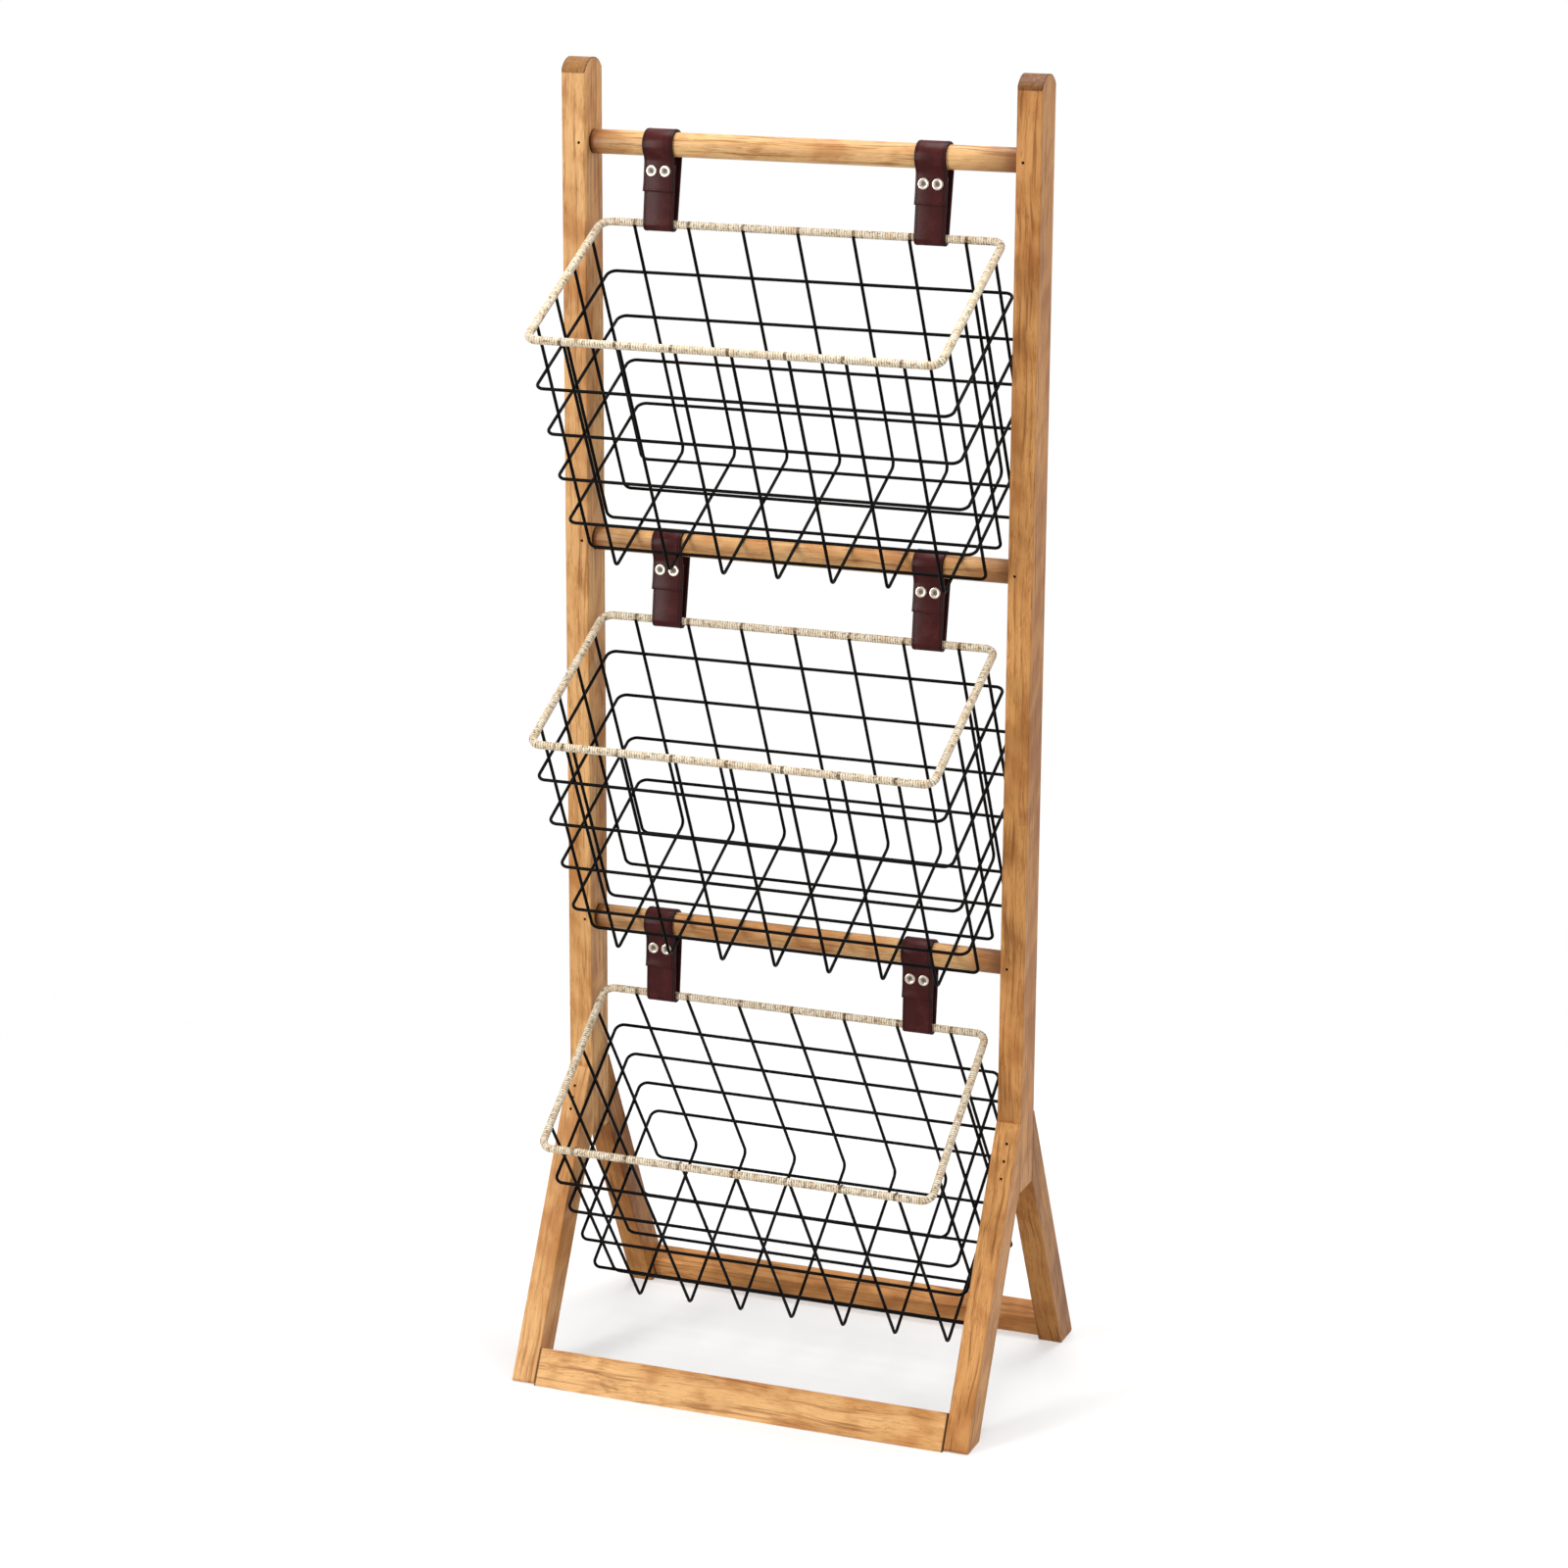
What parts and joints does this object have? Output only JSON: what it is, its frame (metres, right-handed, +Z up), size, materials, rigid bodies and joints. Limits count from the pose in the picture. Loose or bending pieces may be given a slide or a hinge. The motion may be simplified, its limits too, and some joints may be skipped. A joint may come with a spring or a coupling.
{
  "type": "kitchen storage rack",
  "caption": "Free-standing tiered kitchen rack: a splay-legged wooden stand whose round rungs carry tilted wire baskets on leather straps with press studs.",
  "frame": {"origin": "middle of the footprint of the whole rack, on the floor", "axes": "+Z up, -Y to the front, where the baskets' mouths face, and +X to the right as seen from the front"},
  "size_m": [0.452, 0.3361, 1.2199],
  "materials": {
    "stand_wood": "oiled, satin",
    "rung_wood": "oiled, satin",
    "brad_steel": "dull",
    "strap_leather": "smooth, slight sheen",
    "stud_nickel": "polished nickel",
    "rim_cord": "mottled wound cord",
    "basket_wire": "satin black"
  },
  "bodies": {
    "stand": {"left_post": "stand_wood", "right_post": "stand_wood", "front_left_leg": "stand_wood", "front_right_leg": "stand_wood", "rear_left_leg": "stand_wood", "rear_right_leg": "stand_wood", "front_rail": "stand_wood", "rear_rail": "stand_wood", "front_rail_dowels": "rung_wood", "rear_rail_dowels": "rung_wood", "upper_rung": "rung_wood", "middle_rung": "rung_wood", "lower_rung": "rung_wood", "rung_brads": "brad_steel", "front_leg_brads": "brad_steel", "rear_leg_brads": "brad_steel"},
    "upper_straps": {"upper_left_strap": "strap_leather", "upper_right_strap": "strap_leather", "upper_stud_caps": "stud_nickel", "upper_stud_posts": "stud_nickel"},
    "upper_basket": {"upper_rim_rod": "basket_wire", "upper_rim_wrap": "rim_cord", "upper_hoops": "basket_wire", "upper_long_wires": "basket_wire", "upper_cross_wires": "basket_wire"},
    "middle_straps": {"middle_left_strap": "strap_leather", "middle_right_strap": "strap_leather", "middle_stud_caps": "stud_nickel", "middle_stud_posts": "stud_nickel"},
    "middle_basket": {"middle_rim_rod": "basket_wire", "middle_rim_wrap": "rim_cord", "middle_hoops": "basket_wire", "middle_long_wires": "basket_wire", "middle_cross_wires": "basket_wire"},
    "lower_straps": {"lower_left_strap": "strap_leather", "lower_right_strap": "strap_leather", "lower_stud_caps": "stud_nickel", "lower_stud_posts": "stud_nickel"},
    "lower_basket": {"lower_rim_rod": "basket_wire", "lower_rim_wrap": "rim_cord", "lower_hoops": "basket_wire", "lower_long_wires": "basket_wire", "lower_cross_wires": "basket_wire"}
  },
  "joints": [
    {"name": "upper_strap_swing", "type": "hinge", "parent": "stand", "child": "upper_straps", "pos_m": [0, 0.00899, 1.14488], "axis": [1, 0, 0], "range_deg": [-30, 0]},
    {"name": "upper_basket_tilt", "type": "hinge", "parent": "upper_straps", "child": "upper_basket", "pos_m": [0, 0.0033, 1.07411], "axis": [1, 0, 0], "range_deg": [-22, 0]},
    {"name": "middle_strap_swing", "type": "hinge", "parent": "stand", "child": "middle_straps", "pos_m": [0, 0.00899, 0.78094], "axis": [1, 0, 0], "range_deg": [-30, 0]},
    {"name": "middle_basket_tilt", "type": "hinge", "parent": "middle_straps", "child": "middle_basket", "pos_m": [0, 0.0033, 0.71017], "axis": [1, 0, 0], "range_deg": [-22, 0]},
    {"name": "lower_strap_swing", "type": "hinge", "parent": "stand", "child": "lower_straps", "pos_m": [0, 0.00899, 0.417], "axis": [1, 0, 0], "range_deg": [-30, 30]},
    {"name": "lower_basket_tilt", "type": "hinge", "parent": "lower_straps", "child": "lower_basket", "pos_m": [0, 0.00899, 0.346], "axis": [1, 0, 0], "range_deg": [-30, 30]}
  ]
}
